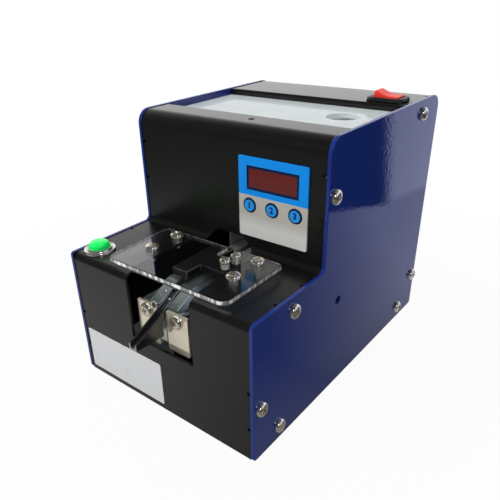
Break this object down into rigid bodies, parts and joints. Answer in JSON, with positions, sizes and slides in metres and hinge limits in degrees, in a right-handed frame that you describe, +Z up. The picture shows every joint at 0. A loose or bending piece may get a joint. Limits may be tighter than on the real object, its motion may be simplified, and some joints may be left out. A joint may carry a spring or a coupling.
{
  "type": "screw counting machine",
  "caption": "Bench-top screw feeder and counter: a stepped sheet housing with a hopper under a lid, a vibrating rail, a discharge chute and a digit display.",
  "frame": {"origin": "on the surface it stands on, under the middle of the whole machine's box", "axes": "+X to the right seen from the front, +Y from the chute to the rear, +Z up"},
  "size_m": [0.1288, 0.2036, 0.1503],
  "materials": {
    "navy_paint": "gloss",
    "black_coat": "satin",
    "zinc_steel": "satin",
    "nickel_steel": "polished",
    "rail_steel": "ground",
    "spring_steel": "blued",
    "chute_steel": "gloss",
    "soft_iron": "plain",
    "copper_wire": "enamelled",
    "bearing_bronze": "satin",
    "clear_acrylic": "polished",
    "milky_acrylic": "polished",
    "label_film": "satin",
    "panel_film": "satin",
    "red_filter": "gloss",
    "blue_key": "gloss",
    "green_cap": "gloss",
    "red_cap": "gloss",
    "black_plastic": "matte",
    "silver_bezel": "polished",
    "foot_rubber": "matte",
    "circuit_board": "gloss",
    "bristle": "matte"
  },
  "bodies": {
    "housing": {"base_plate": "zinc_steel", "left_side_plate": "navy_paint", "right_side_plate": "navy_paint", "front_cover": "black_coat", "rear_cover": "black_coat", "left_side_screws": "zinc_steel", "right_side_screws": "zinc_steel", "rubber_feet": "foot_rubber", "foot_screws": "zinc_steel", "front_label": "label_film", "display_panel": "panel_film", "display_window": "red_filter", "display_board": "circuit_board", "led_digits": "black_plastic", "key_switches": "black_plastic", "display_standoffs": "zinc_steel", "rocker_frame": "black_plastic", "button_body": "silver_bezel", "button_nut": "zinc_steel", "guard_plate": "clear_acrylic", "guard_spacers": "zinc_steel", "guard_screws": "nickel_steel", "hold_down": "black_plastic", "adjusting_screws": "nickel_steel", "adjusting_springs": "zinc_steel", "hopper_left": "zinc_steel", "hopper_right": "zinc_steel", "hopper_front": "zinc_steel", "hopper_rear": "zinc_steel", "scoop_pocket": "zinc_steel", "scoop_motor": "rail_steel", "brush_motor": "rail_steel", "shaft_bushes": "bearing_bronze", "leaf_springs": "spring_steel", "vibrator_base": "soft_iron", "vibrator_mounts": "foot_rubber", "magnet_core": "soft_iron", "magnet_coil": "copper_wire", "control_board": "circuit_board", "board_parts": "black_plastic", "board_spacers": "nickel_steel", "dc_jack": "black_plastic", "jack_nut": "zinc_steel"},
    "rail": {"rail_left": "rail_steel", "rail_right": "rail_steel", "rail_brackets": "nickel_steel", "bracket_screws": "zinc_steel", "chute": "chute_steel", "rail_carrier": "rail_steel", "armature": "soft_iron"},
    "button": {"button_cap": "green_cap"},
    "rocker": {"rocker_cap": "red_cap"},
    "key_one": {"key_1": "blue_key"},
    "key_two": {"key_2": "blue_key"},
    "key_three": {"key_3": "blue_key"},
    "lid_body": {"lid": "milky_acrylic"},
    "scoop_body": {"scoop": "rail_steel", "scoop_shaft": "rail_steel"},
    "brush_body": {"brush": "bristle", "brush_shaft": "rail_steel"}
  },
  "joints": [
    {"name": "button_press", "type": "slide", "parent": "housing", "child": "button", "axis": [0, 0, -1], "range_m": [0, 0.002], "stiffness_N_per_m": 400},
    {"name": "rocker_toggle", "type": "hinge", "parent": "housing", "child": "rocker", "pos_m": [0.045, 0.06525, 0.1453], "axis": [0, -1, 0], "range_deg": [0, 24]},
    {"name": "key_1_press", "type": "slide", "parent": "housing", "child": "key_one", "axis": [0, 1, 0], "range_m": [0, 0.0004], "stiffness_N_per_m": 800},
    {"name": "key_2_press", "type": "slide", "parent": "housing", "child": "key_two", "axis": [0, 1, 0], "range_m": [0, 0.0004], "stiffness_N_per_m": 800},
    {"name": "key_3_press", "type": "slide", "parent": "housing", "child": "key_three", "axis": [0, 1, 0], "range_m": [0, 0.0004], "stiffness_N_per_m": 800},
    {"name": "lid_lift", "type": "slide", "parent": "housing", "child": "lid_body", "axis": [0, 0, 1], "range_m": [0, 0.04]},
    {"name": "rail_vibration", "type": "slide", "parent": "housing", "child": "rail", "axis": [0, 1, 0], "range_m": [-0.0003, 0.0003], "stiffness_N_per_m": 40000},
    {"name": "scoop_swing", "type": "hinge", "parent": "housing", "child": "scoop_body", "pos_m": [0.0025, 0.02395, 0.05], "axis": [1, 0, 0], "range_deg": [-35, 0]},
    {"name": "brush_spin", "type": "hinge", "parent": "housing", "child": "brush_body", "pos_m": [0.0025, 0.00595, 0.0865], "axis": [1, 0, 0], "continuous": true}
  ]
}
